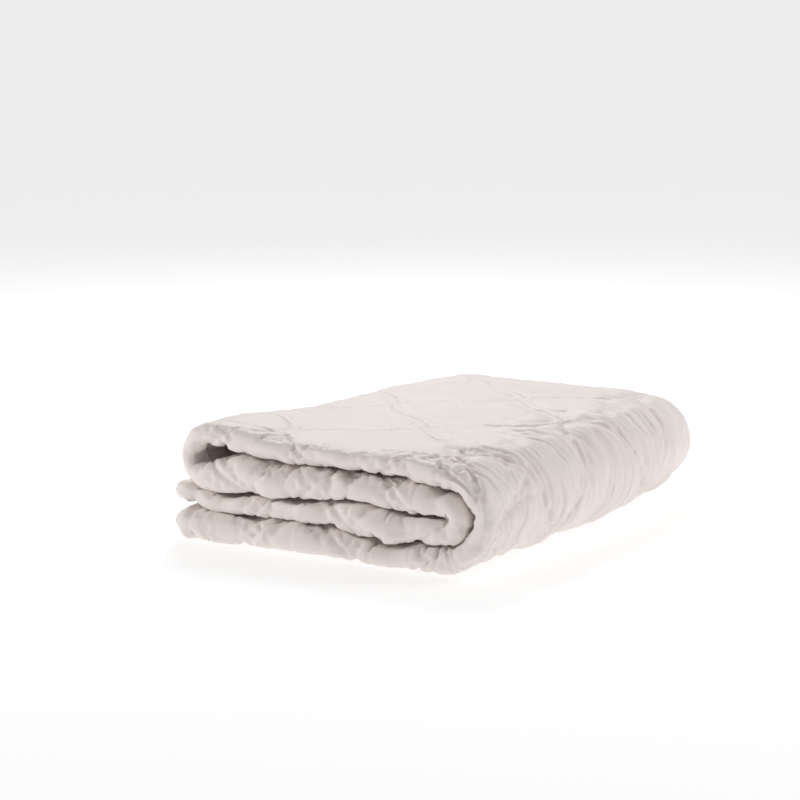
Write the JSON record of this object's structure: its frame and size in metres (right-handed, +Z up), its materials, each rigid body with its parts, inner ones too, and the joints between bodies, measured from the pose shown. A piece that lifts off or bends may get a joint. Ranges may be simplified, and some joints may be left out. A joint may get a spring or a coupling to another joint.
{
  "type": "folded quilted futon mattress",
  "caption": "Single-size quilted cotton futon, filled with loose fibre, folded once across its width and then in quarters into a soft stack.",
  "frame": {"origin": "bottom centre of the folded stack's bounding box, on the surface it rests on", "axes": "+Z up; +Y along the folded stack, from the long rounded front fold to the open sewn edges; +X across it, from the free ends and the loop fold to the big outer fold"},
  "size_m": [0.5522, 0.7532, 0.1714],
  "materials": {
    "cotton_ticking": "undyed cotton sateen, soft sheen",
    "fibre_batting": "loose cotton and wool fibre",
    "quilting_thread": "cotton thread"
  },
  "bodies": {
    "root": {"outer_ticking": "cotton_ticking", "inner_ticking": "cotton_ticking", "batting": "fibre_batting", "edge_seam_thread": "quilting_thread", "closing_seam_thread": "quilting_thread", "needle_thread_1": "quilting_thread", "needle_thread_2": "quilting_thread", "needle_thread_3": "quilting_thread", "needle_thread_4": "quilting_thread", "needle_thread_5": "quilting_thread", "needle_thread_6": "quilting_thread", "needle_thread_7": "quilting_thread", "needle_thread_8": "quilting_thread", "needle_thread_9": "quilting_thread", "bobbin_thread_1": "quilting_thread", "bobbin_thread_2": "quilting_thread", "bobbin_thread_3": "quilting_thread", "bobbin_thread_4": "quilting_thread", "bobbin_thread_5": "quilting_thread", "bobbin_thread_6": "quilting_thread", "bobbin_thread_7": "quilting_thread", "bobbin_thread_8": "quilting_thread", "bobbin_thread_9": "quilting_thread"}
  },
  "joints": []
}
